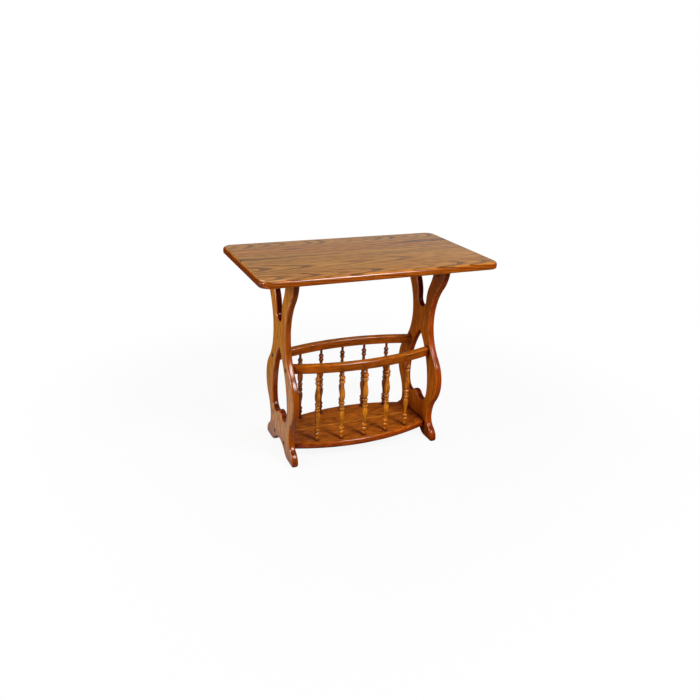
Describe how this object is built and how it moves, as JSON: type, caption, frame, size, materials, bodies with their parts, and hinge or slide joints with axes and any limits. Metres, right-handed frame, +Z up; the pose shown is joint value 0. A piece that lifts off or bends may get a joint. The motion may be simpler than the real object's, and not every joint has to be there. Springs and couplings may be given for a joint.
{
  "type": "magazine table",
  "caption": "Oak side table with a round-cornered top on scroll-cut end panels, and a bowed magazine rack with turned spindles over a low shelf.",
  "frame": {"origin": "on the floor, under the middle of the top", "axes": "+X along the top, -Y towards the front, +Z up"},
  "size_m": [0.66, 0.381, 0.559],
  "materials": {
    "oak_top": "satin lacquer over amber stain",
    "oak_panel": "satin lacquer over amber stain",
    "oak_rail": "satin lacquer over amber stain",
    "oak_shelf": "satin lacquer over amber stain",
    "oak_spindle": "satin lacquer over amber stain",
    "oak_plug": "satin lacquer over amber stain, darker end grain",
    "screw_steel": "zinc plated"
  },
  "bodies": {
    "root": {"table_top": "oak_top", "left_end_panel": "oak_panel", "right_end_panel": "oak_panel", "front_rail": "oak_rail", "back_rail": "oak_rail", "magazine_shelf": "oak_shelf", "front_spindle_1": "oak_spindle", "front_spindle_2": "oak_spindle", "front_spindle_3": "oak_spindle", "front_spindle_4": "oak_spindle", "front_spindle_5": "oak_spindle", "back_spindle_1": "oak_spindle", "back_spindle_2": "oak_spindle", "back_spindle_3": "oak_spindle", "back_spindle_4": "oak_spindle", "back_spindle_5": "oak_spindle", "rail_screws": "screw_steel", "shelf_screws": "screw_steel", "top_screws": "screw_steel", "rail_plugs": "oak_plug", "shelf_plugs": "oak_plug"}
  },
  "joints": []
}
